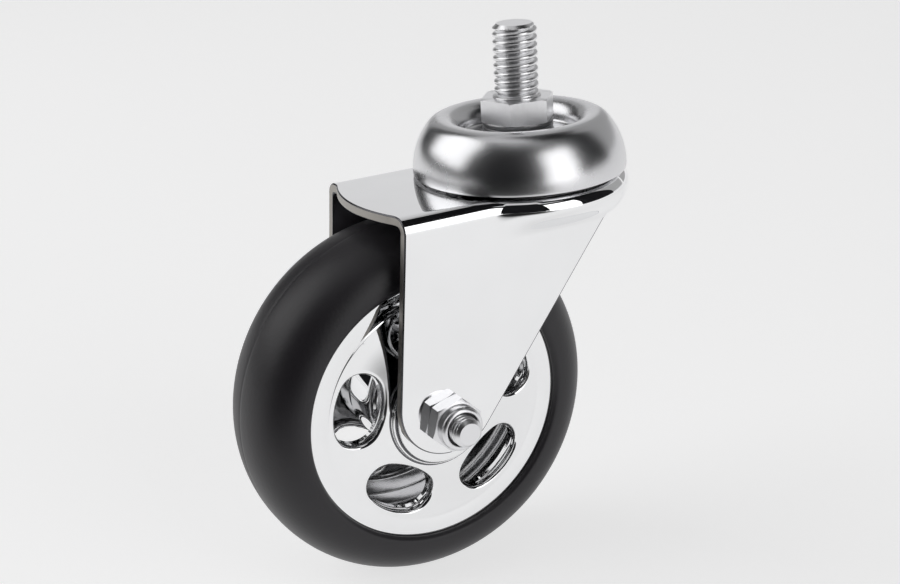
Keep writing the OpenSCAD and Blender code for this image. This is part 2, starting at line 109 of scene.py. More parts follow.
def finished(bm, name, body, material, replaces=(), crease=32, stand=Matrix.Identity(4)):
    """Turns a bmesh in millimetres into a piece in metres that rides on its body."""
    bmesh.ops.remove_doubles(bm, verts=bm.verts, dist=1e-4)
    bmesh.ops.recalc_face_normals(bm, faces=bm.faces)
    bm.transform(Matrix.Scale(0.001, 4) @ stand)
    for face in bm.faces:
        face.smooth = True
    for edge in bm.edges:
        edge.smooth = edge.calc_face_angle(0) < math.radians(crease)
    mesh = bpy.data.meshes.new(name)
    bm.to_mesh(mesh)
    bm.free()
    mesh.materials.append(material)
    piece = bpy.data.objects.new(name, mesh)
    bpy.context.scene.collection.objects.link(piece)
    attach(piece, body)
    if replaces:
        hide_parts(*replaces)
    return piece


def rounded(corners, segments=5):
    """A profile line of (radius, height, rounding) corners, with an arc at each rounded one."""
    line = []
    for i, (r, z, rounding) in enumerate(corners):
        here = Vector((r, z))
        if not rounding:
            line.append(here)
            continue
        before = (Vector(corners[i - 1][:2]) - here).normalized()
        after = (Vector(corners[(i + 1) % len(corners)][:2]) - here).normalized()
        half = before.angle(after) / 2
        middle = here + (before + after).normalized() * (rounding / math.sin(half))
        a = here + before * (rounding / math.tan(half)) - middle
        b = here + after * (rounding / math.tan(half)) - middle
        for k in range(segments + 1):
            line.append(middle + Matrix.Rotation(a.angle_signed(b) * -k / segments, 2) @ a)
    return line


def about_z(degrees, steps):
    """What every spin about Z has in common."""
    return {"cent": (0, 0, 0), "axis": (0, 0, 1), "angle": math.radians(degrees), "steps": steps}


def lathe(bm, line, steps=128):
    """Turns a closed profile line of (radius, height) about Z."""
    dots = [bm.verts.new((r, 0, z)) for r, z in line]
    edges = [bm.edges.new(pair) for pair in zip(dots, dots[1:] + dots[:1])]
    bmesh.ops.spin(bm, geom=dots + edges, use_merge=True, **about_z(360, steps))


def ring(bm, count, place):
    """A closed ring of numbered vertices, put where place says."""
    number = bm.verts.layers.int.get("number") or bm.verts.layers.int.new("number")
    made = bmesh.ops.create_circle(bm, segments=count, radius=1)["verts"]
    for i, v in enumerate(made):
        v[number] = i
        v.co = place(i)
    return list({e for v in made for e in v.link_edges})


def edges_only(geom):
    """The edges among what an operator gives back."""
    return [part for part in geom if isinstance(part, bmesh.types.BMEdge)]


def extruded(bm, rim):
    """Extrudes a rim of edges; gives the new vertices and the new rim."""
    made = bmesh.ops.extrude_edge_only(bm, edges=rim)["geom"]
    dots = {part for part in made if isinstance(part, bmesh.types.BMVert)}
    return dots, [e for e in edges_only(made) if set(e.verts) <= dots]


def grow(bm, rim, place):
    """Extrudes a rim and puts each new vertex where place says, by its number."""
    number = bm.verts.layers.int["number"]
    dots, new_rim = extruded(bm, rim)
    for v in dots:
        v.co = place(v[number])
    return new_rim


def hexagon(bm, flats, low, high, turn, chamfered, land, bore=0.01):
    """A hexagon about Z; at a chamfered end a cone cuts its corners back outside the land."""
    count = 144

    def reach(i):
        a = (math.tau * i / count) % (math.pi / 3) - math.pi / 6
        return flats / 2 / math.cos(a)

    def cut_back(i, end):
        return max(reach(i) - land, 0) * math.tan(math.radians(30)) if end in chamfered else 0

    def spot(i, r, z):
        a = math.tau * i / count + math.radians(turn)
        return Vector((r * math.cos(a), r * math.sin(a), z))

    rim = ring(bm, count, lambda i: spot(i, bore, low))
    rim = grow(bm, rim, lambda i: spot(i, min(land, reach(i)), low))
    rim = grow(bm, rim, lambda i: spot(i, reach(i), low + cut_back(i, "low")))
    rim = grow(bm, rim, lambda i: spot(i, reach(i), high - cut_back(i, "high")))
    rim = grow(bm, rim, lambda i: spot(i, min(land, reach(i)), high))
    grow(bm, rim, lambda i: spot(i, bore, high))


# One rolled tooth: shares of the pitch, and of the tooth's height.
tooth_shape = (
    (0, 0), (0.06, 0), (0.15, 0.34), (0.25, 0.7), (0.36, 0.93),
    (0.48, 1), (0.58, 1), (0.7, 0.93), (0.81, 0.7), (0.91, 0.34),
)


def thread(bm, crest, root, pitch, low, high, chamfer):
    """A rolled thread about Z: one axial line of teeth, spun through one turn and moved up by one pitch."""
    line = []
    for tooth in range(math.floor((low - 2 * pitch) / pitch), math.ceil((high + 2 * pitch) / pitch)):
        for share, height in tooth_shape:
            line.append((root + (crest - root) * height, (tooth + share) * pitch))
    dots = [bm.verts.new((r, 0, z)) for r, z in line]
    edges = [bm.edges.new(pair) for pair in zip(dots, dots[1:])]
    steps = 72
    bmesh.ops.spin(bm, geom=dots + edges, dvec=(0, 0, pitch / steps), **about_z(360, steps))
    bmesh.ops.remove_doubles(bm, verts=bm.verts, dist=1e-3)
    for v in bm.verts:
        r = math.hypot(v.co.x, v.co.y)
        limit = crest - max(0, v.co.z - (high - chamfer))
        if r > limit:
            v.co.x, v.co.y = v.co.x * limit / r, v.co.y * limit / r
    for z, side in ((low, -1), (high, 1)):
        everything = bm.verts[:] + bm.edges[:] + bm.faces[:]
        cut = bmesh.ops.bisect_plane(
            bm, geom=everything, plane_co=(0, 0, z), plane_no=(0, 0, side), clear_outer=True)
        bmesh.ops.contextual_create(bm, geom=edges_only(cut["geom_cut"]))


bright_zinc = plated("bright_zinc", (0.9, 0.9, 0.91), 0.31, 0.05, 0.25, 1600, (1, 1, 0.2))
axis_r = 0.01
stem_r, stem_root_r, stem_pitch, stem_top, stem_chamfer = 4.5, 3.7, 1.58, 14.75, 0.9
stem_flats, stem_hex_low, stem_hex_turn, stem_land = 13.4, -4.7, 49, 7.35
collar_r, collar_top_r, collar_rise = 4.85, 4.1, 0.7
shank_r, rivet_r, rivet_top, rivet_low = 4, 6.2, -22.1, -24.1
bm = bmesh.new()
thread(bm, stem_r, stem_root_r, stem_pitch, -0.5, stem_top, stem_chamfer)
finished(bm, "stem_thread", "stem", bright_zinc, crease=40)
bm = bmesh.new()
hexagon(bm, stem_flats, stem_hex_low, 0, stem_hex_turn, ("low", "high"), stem_land)
finished(bm, "stem_hexagon", "stem", bright_zinc)
bm = bmesh.new()
foot_collar = [
    (axis_r, -1, 0), (collar_r, -1, 0), (collar_r, 0.25, 0.2),
    (collar_top_r, collar_rise, 0), (axis_r, collar_rise, 0),
]
lathe(bm, rounded(foot_collar), steps=96)
riveted_shank = [
    (axis_r, stem_hex_low - 0.1, 0), (axis_r, rivet_low, 0), (rivet_r - 1, rivet_low, 0.8),
    (rivet_r, rivet_top - 0.8, 0.5), (rivet_r, rivet_top, 0), (shank_r, rivet_top, 0),
    (shank_r, stem_hex_low - 0.1, 0),
]
lathe(bm, rounded(riveted_shank), steps=96)
finished(bm, "stem_shank", "stem", bright_zinc, ("stem_stud",))

# Washer under the hexagon: dull dark steel, turned with fine ribs round its
# edge, clamped between the hexagon and the floor of the cap.
dull_steel = plated("dull_steel", (0.34, 0.34, 0.35), 0.34, 0.08, 0.4, 700)
washer_r, washer_hole_r, washer_top, washer_low = 7.2, 4.05, -4.72, -7.98
rib_depth, rib_tops, groove_top, groove_low, rib_low = 0.3, (-5.3, -6.1, -6.9), 0.15, 0.3, 0.45
groove_r = washer_r - rib_depth
edge = [(washer_r, washer_top, 0.15)]
for z in rib_tops:
    edge += [(washer_r, z, 0.1), (groove_r, z - groove_top, 0)]
    edge += [(groove_r, z - groove_low, 0), (washer_r, z - rib_low, 0.1)]
edge.append((washer_r, washer_low, 0.1))
bm = bmesh.new()
lathe(bm, rounded([(washer_hole_r, washer_top, 0)] + edge + [(washer_hole_r, washer_low, 0)], 3))
finished(bm, "stem_washer_ribbed", "stem", dull_steel, ("stem_washer",))

# Domed cap: drawn from steel sheet and satin chromed, with a sunk floor for
# the hexagon, one full curve over the crest and a rim rolled in underneath.
satin_chrome = plated("satin_chrome", (0.78, 0.78, 0.795), 0.27, 0.03, 0.12, 5200)


def arc(middle, radius, start, end, steps):
    """Points of an arc from one angle to another, in degrees."""
    turns = [math.radians(start + (end - start) * k / steps) for k in range(steps + 1)]
    return [(middle[0] + radius * math.cos(a), middle[1] + radius * math.sin(a)) for a in turns]


cap_sheet, cap_r, cap_hole_r, floor_top, floor_low = 1.2, 21.8, 4.05, -8.02, -9.18
crest_at, crest_bend, crest_start, crest_end = (15.5, -7.4), 3.8, 177.8, 223
side_bend, widest_z, rim_bend, rim_turn = 14.57, -14.3, 2, -14
floor_bend, floor_bend_r = 0.8, 10.9
side_at = (cap_r - side_bend, widest_z)
rim_at = (cap_r - rim_bend, widest_z)
join = math.degrees(math.atan2(crest_at[1] - side_at[1], crest_at[0] - side_at[0]))
floor_round = arc((floor_bend_r, floor_top + floor_bend), floor_bend, -90, -6, 6)
over = arc(crest_at, crest_bend, crest_start, join, 36)
over += arc(side_at, side_bend, join, 0, 24)[1:] + arc(rim_at, rim_bend, 0, rim_turn, 3)[1:]
under = arc(rim_at, rim_bend - cap_sheet, rim_turn, 0, 2)
under += arc(side_at, side_bend - cap_sheet, 0, join, 18)[1:]
under += arc(crest_at, crest_bend - cap_sheet, join, crest_end, 24)[1:]
bm = bmesh.new()
lathe(bm, [(cap_hole_r, floor_top)] + floor_round + over + under + [(cap_hole_r, floor_low)], steps=192)
finished(bm, "cap_shell", "stem", satin_chrome, ("dome_cap",), crease=50)

# Ball races and balls: hardened and ground steel, closed in between the cap
# and the fork, where the riveted shank holds them together.
ground_steel = plated("ground_steel", (0.55, 0.55, 0.57), 0.22, 0.05, 0.2, 600)
ball_steel = plated("ball_steel", (0.80, 0.80, 0.82), 0.07, 0.02, 0.1, 400)


def dress(material, *nodes):
    """Gives CAD nodes that stay as they are their material."""
    for node in nodes:
        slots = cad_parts[node].data.materials
        slots.clear()
        slots.append(material)


dress(ground_steel, "upper_race", "lower_race")
dress(ball_steel, "upper_balls", "lower_balls")

# Fork: one piece of 2 mm steel sheet, blanked, folded down into two legs and
# drawn out into a round crown under the cap, its free edges slightly rounded,
# then polished and chromed to a mirror.
mirror_chrome = plated("mirror_chrome", (0.95, 0.953, 0.96), 0.035, 0.015, 0.05, 260)
half_width, fork_sheet, bend, plate_top = 17.25, 2.0, 2.9, -15.3
bend_line = plate_top - bend
plate_end, plate_round = -38.2, 31.0
foot, foot_r = (-28.0, -54.3), 10.6
crown_r, crown_low, skirt_foot_r, crown_end = 22.25, -22.4, 19.8, 40
front_top, rear_top = (-35.3, bend_line), (9.72, crown_low)
front_lean, rear_lean = 0.083, 0.805
flare, blend = 9.0, 5.4


def tangent(point, side_sign):
    """Direction from the foot's centre to where a line from point touches the foot's round."""
    dx, dz = point[0] - foot[0], point[1] - foot[1]
    return math.degrees(math.atan2(dz, dx) + side_sign * math.acos(foot_r / math.hypot(dx, dz)))


foot_start, foot_end = tangent(front_top, 1), tangent(rear_top, -1) + 360
belly_r = crown_r - 0.1
drop, inward = bend_line - crown_low, belly_r - skirt_foot_r
belly = (drop**2 + inward**2) / (2 * inward)
belly_mid = belly_r - belly
flare_x = math.sqrt((crown_r + flare) ** 2 - (half_width + flare) ** 2)
flare_turn = math.degrees(math.atan2(flare_x, half_width + flare))


def outward(degrees):
    """A direction in the plan, with a length of one."""
    a = math.radians(degrees)
    return Vector((math.cos(a), math.sin(a)))


def side_line():
    """The near side from above: straight leg, hollow flare, round crown; each point with its outward way."""
    line = [(Vector((x, -half_width)), Vector((0, -1))) for x in (front_top[0], foot[0], -flare_x)]
    hollow = Vector((-flare_x, -half_width - flare))
    for k in range(1, 9):
        way = outward(90 - flare_turn * k / 8)
        line.append((hollow + flare * way, -way))
    for k in range(1, 33):
        way = outward(-90 - flare_turn + (flare_turn + crown_end) * k / 32)
        line.append((crown_r * way, way))
    return line


def leg_rear(z):
    """How far the leg reaches at a height: along the crown's belly, then down its straight edge."""
    if z < crown_low:
        return rear_top[0] - (crown_low - z) * rear_lean
    return math.sqrt((belly_mid + math.sqrt(belly**2 - (z - bend_line) ** 2)) ** 2 - half_width**2)


near_line = side_line()
bm = bmesh.new()
number = bm.verts.layers.int.new("number")
dots = []
for i, (place, _) in enumerate(near_line):
    dots.append(bm.verts.new((*place, bend_line)))
    dots[-1][number] = i
first_row = [bm.edges.new(pair) for pair in zip(dots, dots[1:])]
rim = first_row
for k in range(1, 11):
    t = math.radians(9 * k)
    lean, rise = bend * (1 - math.cos(t)), bend * math.sin(t)
    rim = grow(bm, rim, lambda i: (*(near_line[i][0] - near_line[i][1] * lean), bend_line + rise))
plate_edge = [place - out * bend for place, out in near_line]
plate_steps = 16
for k in range(1, plate_steps + 1):
    share = 1 - k / plate_steps
    rim = grow(bm, rim, lambda i: (plate_edge[i].x, plate_edge[i].y * share, plate_top))
for v in bm.verts:
    if v.co.x < -30 and v.co.z > bend_line - 1e-3:
        v.co.x = min(plate_end + plate_round - math.sqrt(plate_round**2 - v.co.y**2), front_top[0])

rim = first_row
rear_reach = near_line[-1][0].x
blend_steps = 12
for k in range(1, blend_steps + 1):
    share = k / blend_steps
    z = bend_line - blend * share
    bulge = 1 - share * share * (3 - 2 * share)

    def down(i):
        x, y = near_line[i][0]
        if x > 0:
            x *= leg_rear(z) / rear_reach
        if i == 0:
            x += (z - bend_line) * front_lean
        return (x, -half_width + (y + half_width) * bulge, z)

    rim = grow(bm, rim, down)
low_row = sorted({v for e in rim for v in e.verts}, key=lambda v: v[number])
foot_dots = [bm.verts.new((x, -half_width, z)) for x, z in arc(foot, foot_r, foot_start, foot_end, 48)]
bm.faces.new(low_row + foot_dots[::-1])
bmesh.ops.mirror(bm, geom=bm.verts[:] + bm.edges[:] + bm.faces[:], axis="Y", merge_dist=1e-3)
pressing = finished(bm, "fork_pressing", "fork", mirror_chrome, ("fork",))


def face_outwards(piece, face):
    """Turns a sheet over if one of its outer faces looks towards the castor's middle."""
    if face.normal.y * face.center.y < 0:
        piece.data.flip_normals()


face_outwards(pressing, max(pressing.data.polygons, key=lambda p: p.area))


def finish_sheet(piece, thickness, edge, cut_edge, corner, open_to_view):
    """Gives a folded sheet its thickness and a duller cut edge, whose free corners are slightly rounded and
    painted dark as shade.
    """
    piece.data.materials.append(cut_edge)
    piece.data.materials.append(corner)
    wall = piece.modifiers.new("thickness", "SOLIDIFY")
    wall.thickness, wall.offset, wall.use_even_offset = thickness * 0.001, -1, True
    wall.material_offset_rim = 1
    thick = piece.evaluated_get(bpy.context.evaluated_depsgraph_get())
    walled = bpy.data.meshes.new_from_object(thick)
    piece.modifiers.clear()
    bm = bmesh.new()
    bm.from_mesh(walled)
    bpy.data.meshes.remove(walled)
    corners = []
    for e in bm.edges:
        between_face_and_cut = {f.material_index for f in e.link_faces} == {0, 1}
        if between_face_and_cut and all(open_to_view(v.co * 1000) for v in e.verts):
            corners.append(e)
    # Painted shade: the rounded corners take the third material, a near-black chrome.
    bmesh.ops.bevel(
        bm, geom=corners, offset=edge * 0.001, offset_type="OFFSET", segments=3, profile=0.5,
        affect="EDGES", clamp_overlap=False, material=2)
    bm.to_mesh(piece.data)
    bm.free()
    flat = piece.modifiers.new("flat_faces", "WEIGHTED_NORMAL")
    flat.keep_sharp = True


sheared_edge = plated("sheared_edge", (0.42, 0.40, 0.37), 0.42, 0.08, 0.5, 1100)
# Painted shade: a near-black chrome for the fork's rounded edges and the discs' collar grooves.
painted_edge_shade = plated("painted_edge_shade", (0.14, 0.14, 0.15), 0.16, 0.05, 0.4, 900)
edge_round, plate_corner_x = 0.28, -29
finish_sheet(
    pressing, fork_sheet, edge_round, sheared_edge, painted_edge_shade,
    lambda at: at.x < plate_corner_x or at.z < crown_low - 0.4)

# Skirt of the fork: the crown's round end, away from the wheel, drawn down in
# one piece with the pressing. It lies a hair below the pressing's face,
# narrows downwards and ends in a rounded lip.
hair, lip_drop, skirt_hole_r, skirt_half_angle = 0.02, 0.15, 4.1, 70
belly_end = -math.degrees(math.asin(drop / belly))
shoulder, belly_at = (crown_r - bend, bend_line), (belly_mid, bend_line)
outer = [(skirt_hole_r, plate_top - hair)] + arc(shoulder, bend - hair, 90, 0, 12)
outer += arc(belly_at, belly, -1, belly_end, 14)
inner = arc(belly_at, belly - fork_sheet, belly_end, -1, 10)
inner += arc(shoulder, bend - fork_sheet, 0, 90, 5) + [(skirt_hole_r, plate_top - fork_sheet)]
tip_out, tip_in = Vector(outer[-1]), Vector(inner[0])
lip = [
    tip_out.lerp(tip_in, 0.15) + Vector((-hair, -lip_drop)),
    tip_out.lerp(tip_in, 0.85) + Vector((0, -lip_drop)),
]


def sector(bm, line, half_angle, steps):
    """Spins a closed profile line about Z to both sides of X, closed at both ends."""
    c, s = math.cos(math.radians(-half_angle)), math.sin(math.radians(-half_angle))
    face = bm.faces.new([bm.verts.new((r * c, r * s, z)) for r, z in line])
    bmesh.ops.spin(bm, geom=[face], **about_z(2 * half_angle, steps))


def trim(bm, at, away):
    """Cuts off what lies past a plane and closes the cut."""
    everything = bm.verts[:] + bm.edges[:] + bm.faces[:]
    cut = bmesh.ops.bisect_plane(bm, geom=everything, plane_co=at, plane_no=away, clear_outer=True)
    bmesh.ops.holes_fill(bm, edges=edges_only(cut["geom_cut"]))


bm = bmesh.new()
sector(bm, outer + lip + inner, skirt_half_angle, 56)
for side in (1, -1):
    trim(bm, (0, side * (half_width - 0.03), 0), (0, side, 0))
finished(bm, "fork_skirt", "fork", mirror_chrome, crease=60)

# Axle bolt: a zinc-plated hexagon-head bolt through both legs, its head on
# the far side, its chamfered threaded end standing out of the lock nut.
dull_zinc = plated("dull_zinc", (0.86, 0.86, 0.875), 0.31, 0.05, 0.25, 1600)
wheel_centre = Vector((-28.0, 0, -57.8))
near_side = Matrix.Translation(wheel_centre) @ Matrix.Rotation(math.radians(90), 4, "X")
bolt_r, bolt_root_r, bolt_pitch, bolt_end, bolt_chamfer = 3.0, 2.5, 1.0, 25.35, 0.75
thread_start, bolt_flats, bolt_turn, bolt_land, head_height = 15.5, 9.8, 16, 4.85, 4
leg_face, plain_r = half_width + 0.02, 2.98
plain_foot, plain_end = -leg_face - 0.03, thread_start + 0.1
bm = bmesh.new()
thread(bm, bolt_r, bolt_root_r, bolt_pitch, thread_start, bolt_end, bolt_chamfer)
finished(bm, "axle_thread", "fork", dull_zinc, crease=40, stand=near_side)
bm = bmesh.new()
hexagon(bm, bolt_flats, -half_width - head_height, -leg_face, bolt_turn, ("low",), bolt_land)
lathe(bm, [(axis_r, plain_foot), (plain_r, plain_foot), (plain_r, plain_end), (axis_r, plain_end)], steps=64)
finished(bm, "axle_shank", "fork", dull_zinc, ("axle_bolt",), stand=near_side)

# Lock nut: zinc-plated steel, a chamfered hexagon with a round collar that
# is rolled in over a ring of nylon, which grips the bolt.
nut_bore, nut_land, nut_hex_end, nut_end = 3.05, 4.9, 20.45, 22.85
nut_collar_r, collar_foot, nut_mouth_r, mouth_foot = 4.55, 20.0, 3.5, 22.3
pocket_r, pocket_foot, pocket_end = 3.9, 20.5, 22.1
bm = bmesh.new()
hexagon(bm, bolt_flats, leg_face, nut_hex_end, bolt_turn, ("low", "high"), nut_land, bore=nut_bore)
rolled_collar = [
    (nut_bore, collar_foot, 0), (nut_collar_r, collar_foot, 0),
    (nut_collar_r, nut_end, 0.9), (nut_mouth_r, nut_end, 0.2), (nut_mouth_r, mouth_foot, 0),
    (pocket_r, pocket_end, 0), (pocket_r, pocket_foot, 0), (nut_bore, pocket_foot, 0),
]
lathe(bm, rounded(rolled_collar, 7))
finished(bm, "lock_nut_shell", "fork", dull_zinc, ("lock_nut",), stand=near_side)


def dark_solid(name, colour, rough, grain, grain_size):
    """Black rubber, or nylon made near black: dull, with a fine grain and slight changes of sheen."""
    darker, lighter = [c * 0.8 for c in colour], [c * 1.2 for c in colour]
    return surface(name, darker, lighter, rough, 0.06, 60, grain, grain_size, 4)


# The nylon ring is coloured near black, so that the nut's mouth shows dark between its lip and the bolt.
nylon_near_black = dark_solid("nylon_near_black", (0.02, 0.02, 0.022), 0.4, 0.2, 900)
nylon_bore, nylon_r, nylon_foot, nylon_end = 3.02, 3.88, 20.52, 21.9
bm = bmesh.new()
nylon = [(nylon_bore, nylon_foot), (nylon_r, nylon_foot), (nylon_r, nylon_end), (nylon_bore, nylon_end)]
lathe(bm, nylon, steps=64)
finished(bm, "lock_ring", "fork", nylon_near_black, ("nylon_ring",), stand=near_side)

# Spacers and ball bearings: ground steel, hidden inside the hub. The inner
# rings are clamped on the bolt with the spacers and the outer ones turn.
dress(ground_steel, "side_spacer_near", "side_spacer_far", "centre_spacer")
dress(ground_steel, "bearing_inner_near", "bearing_inner_far", "bearing_outer_near", "bearing_outer_far")
dress(ball_steel, "bearing_balls_near", "bearing_balls_far")

# Hub barrel: a turned steel sleeve, chromed with the discs. Its shoulders
# locate them, and the thicker middle shows as rings through the windows.
hub_end, hub_end_r, shoulder_at, shoulder_r = 14.75, 10, 11.65, 11
shoulder_low, neck_r, neck_top, neck_low, belt_r, belt_top = 6.6, 10.7, 6.3, 4.6, 11.6, 4.5
seat_r, seat_end, hub_bore = 7.55, 9.25, 6
bm = bmesh.new()
near_half = [
    (hub_end_r, hub_end, 0.35), (hub_end_r, shoulder_at, 0),
    (shoulder_r, shoulder_at, 0), (shoulder_r, shoulder_low, 0),
    (neck_r, neck_top, 0), (neck_r, neck_low, 0), (belt_r, belt_top, 0.3),
]
far_half = [(r, -y, k) for r, y, k in reversed(near_half)]
bore = [
    (seat_r, -hub_end, 0.2), (seat_r, -seat_end, 0), (hub_bore, -seat_end, 0),
    (hub_bore, seat_end, 0), (seat_r, seat_end, 0), (seat_r, hub_end, 0.2),
]
lathe(bm, rounded(near_half + far_half + bore, 4))
finished(bm, "hub_sleeve", "wheel", mirror_chrome, ("hub_barrel",), stand=near_side)

# Wheel discs: two steel pressings, chromed. Each has windows with their lips
# turned in, a collar pressed on the hub barrel, a web dished out towards
# the hub and an edge turned over into the flange that carries the tyre.
inside_chrome = plated("inside_chrome", (0.60, 0.60, 0.61), 0.16, 0.05, 0.3, 500)
rim_r, rim_edge_bend, rim_face, disc_sheet = 28.3, 1.3, 11.2, 1.15
web_out, web_in, hub_face = 23.5, 11.25, 12.9
collar_in, collar_bend, collar_face = 10.05, 0.3, 13.8
windows, window_turn, window_at = 5, math.radians(22.2), 17.35
window_long, window_wide, window_end = 14.8, 9.6, 4.3
window_bend, window_bend_drop, window_lip = 0.72, 1.3, 3.1
count = 112
sector_half = math.pi / windows


def web_height(r):
    """Height of the web's outer face: dished out to the hub in one easy curve."""
    share = min(max((web_out - r) / (web_out - web_in), 0), 1)
    return rim_face + (hub_face - rim_face) * share * share * math.sqrt(3 - 2 * share)


end_at = window_long / 2 - window_end
half_wide = window_wide / 2
side_r = (end_at**2 + half_wide**2 - window_end**2) / (2 * (half_wide - window_end))
side_mid = side_r - half_wide


def farthest(inside, reach):
    """The greatest distance that is still inside, by halving."""
    low, high = 0.0, reach
    for _ in range(50):
        middle = (low + high) / 2
        low, high = (middle, high) if inside(middle) else (low, middle)
    return low


def window_line(direction, wider):
    """Point of the window's outline in a direction from its middle: (across the web, around it)."""
    c, s = math.cos(direction), math.sin(direction)

    def inside(t):
        x, y = abs(t * c), abs(t * s)
        if y < (side_mid + x) * end_at / side_mid:
            return math.hypot(x + side_mid, y) < side_r + wider
        return math.hypot(x, y - end_at) < window_end + wider

    t = farthest(inside, 20)
    return Vector((t * c, t * s))


def share_edge(direction):
    """Where a line from the window's middle leaves its share of the web."""
    c, s = math.cos(direction), math.sin(direction)

    def inside(t):
        x, y = window_at + t * c, t * s
        return web_in < math.hypot(x, y) < web_out and abs(math.atan2(y, x)) < sector_half

    t = farthest(inside, 30)
    return Vector((t * c, t * s))


# The directions are even, but for one that is moved to each corner of the
# share, and points on its round edges are put exactly on them.
directions = [math.tau * (i + 0.5) / count for i in range(count)]
for r in (web_in, web_out):
    for a in (-sector_half, sector_half):
        bearing = math.atan2(r * math.sin(a), r * math.cos(a) - window_at) % math.tau
        off = [abs((d - bearing + math.pi) % math.tau - math.pi) for d in directions]
        directions[off.index(min(off))] = bearing
edge_points = [share_edge(d) for d in directions]
for i, point in enumerate(edge_points):
    r = math.hypot(window_at + point.x, point.y)
    for exact in (web_in, web_out):
        if abs(r - exact) < 1e-3:
            a = math.atan2(point.y, window_at + point.x)
            edge_points[i] = Vector((exact * math.cos(a) - window_at, exact * math.sin(a)))
lip_starts = [window_line(d, window_bend) for d in directions]
web_shares = (1, 0.86, 0.7, 0.52, 0.35, 0.2, 0.09, 0)
rim_groove, flange_end = 0.06, 0.03
rim_line = [(23.62, rim_face - rim_groove), (23.8, rim_face - rim_groove)]
rim_line += [(23.95, rim_face), (26.6, rim_face)]
rim_line += arc((rim_r - rim_edge_bend, rim_face - rim_edge_bend), rim_edge_bend, 84, 0, 8)
rim_line += [(rim_r, 5), (rim_r, flange_end)]
collar_out, collar_foot_bend, collar_shade_below, collar_shade_above = 10.75, 0.45, 10.4, 10.85
collar_line = arc((web_in - 0.05, hub_face + collar_foot_bend), collar_foot_bend, -80, -170, 5)
collar_line.append((collar_out, collar_face - collar_bend))
collar_line += arc((collar_out - collar_bend, collar_face - collar_bend), collar_bend, 0, 90, 4)
collar_line.append((collar_in + 0.02, collar_face))


def wheel_disc(name, node, stand, handed):
    """One pressing: the windows' shares of the web side by side, then its rim and its collar."""
    bm = bmesh.new()
    for w in range(windows):
        a = handed * (window_turn + math.tau * w / windows)

        def put(flat, height=None):
            x, y = window_at + flat.x, flat.y
            z = web_height(math.hypot(x, y)) if height is None else height
            return Vector((x * math.cos(a) - y * math.sin(a), x * math.sin(a) + y * math.cos(a), z))

        def below_lip(narrower, depth):
            flats = [window_line(d, window_bend * narrower) for d in directions]
            return [put(flat, put(start).z - depth) for flat, start in zip(flats, lip_starts)]

        rings = [[put(s.lerp(e, share)) for s, e in zip(lip_starts, edge_points)] for share in web_shares]
        for k in range(1, 7):
            t = math.radians(15 * k)
            rings.append(below_lip(1 - math.sin(t), window_bend_drop * (1 - math.cos(t))))
        rings.append(below_lip(0, window_lip))
        rim = ring(bm, count, lambda i: rings[0][i])
        for spots in rings[1:]:
            rim = grow(bm, rim, lambda i: spots[i])
    bmesh.ops.remove_doubles(bm, verts=bm.verts, dist=2e-3)

    def open_edge(radius):
        def near(v):
            return abs(math.hypot(v.co.x, v.co.y) - radius) < 0.02

        return [e for e in bm.edges if e.is_boundary and all(near(v) for v in e.verts)]

    for edge_r, line in ((web_out, rim_line), (web_in, collar_line)):
        rim = open_edge(edge_r)
        for radius, height in line:
            dots, rim = extruded(bm, rim)
            for v in dots:
                scale = radius / math.hypot(v.co.x, v.co.y)
                v.co = Vector((v.co.x * scale, v.co.y * scale, height))
    piece = finished(bm, name, "wheel", mirror_chrome, (node,), crease=60, stand=stand)
    face_outwards(piece, max(piece.data.polygons, key=lambda p: abs(p.center.y)))
    piece.data.materials.append(inside_chrome)
    piece.data.materials.append(painted_edge_shade)
    # Painted shade: faces in the groove round the hub, and in the fillet where the collar meets the web,
    # take the near-black third material.
    for face in piece.data.polygons:
        r = math.hypot(face.center.x * 1000 - wheel_centre.x, face.center.z * 1000 - wheel_centre.z)
        if r < collar_shade_below or collar_shade_above < r < web_in:
            face.material_index = 2
    wall = piece.modifiers.new("thickness", "SOLIDIFY")
    wall.thickness, wall.offset, wall.material_offset = disc_sheet * 0.001, -1, 1


far_side = Matrix.Translation(wheel_centre) @ Matrix.Rotation(math.radians(-90), 4, "X")
wheel_disc("disc_near", "wheel_disc_near", near_side, 1)
wheel_disc("disc_far", "wheel_disc_far", far_side, -1)

# Tyre: solid black rubber moulded on the rim, round in section, with the
# mould's parting line along its middle and plain side walls.
black_rubber = dark_solid("black_rubber", (0.027, 0.0245, 0.029), 0.42, 0.25, 1400)
tyre_r, tyre_half, bulge_r, squareness = 37.5, 12.5, 28.1, 2.2
parting_half, parting_floor, parting_depth = 0.35, 0.12, 0.06
lip_at, lip_bend = (26.7, 9.6), 1.64
quarter = []
for k in range(30):
    t = math.pi / 2 * k / 30
    r = bulge_r + (tyre_r - bulge_r) * math.sin(t) ** (2 / squareness)
    quarter.append((r, tyre_half * math.cos(t) ** (2 / squareness)))
quarter.append((tyre_r - 0.02, parting_half))
quarter += [(tyre_r - parting_depth, parting_floor), (tyre_r - parting_depth, 0)]
lip_side = arc(lip_at, lip_bend, 0, 64, 6) + [(27.42, 11.6), (27.55, 12.0), (27.82, 12.3)]
near_outline = lip_side + quarter
far_outline = [(r, -y) for r, y in reversed(near_outline) if y > 0]
bm = bmesh.new()
lathe(bm, near_outline + far_outline, steps=192)
finished(bm, "tyre_rubber", "wheel", black_rubber, ("tyre",), crease=60, stand=near_side)

# Studio: a white table under two large softboxes, one to the left and one to
# the right of the camera, with a dark room behind the camera between them.
# The polished metal shows these as its bright and dark bands.
table_z = -0.0953
camera_bearing = -117.3


def toward(bearing, distance):
    """A spot on the table at a bearing from the camera's side, in degrees, as seen from the castor."""
    a = math.radians(camera_bearing + bearing)
    return distance * math.cos(a), distance * math.sin(a)


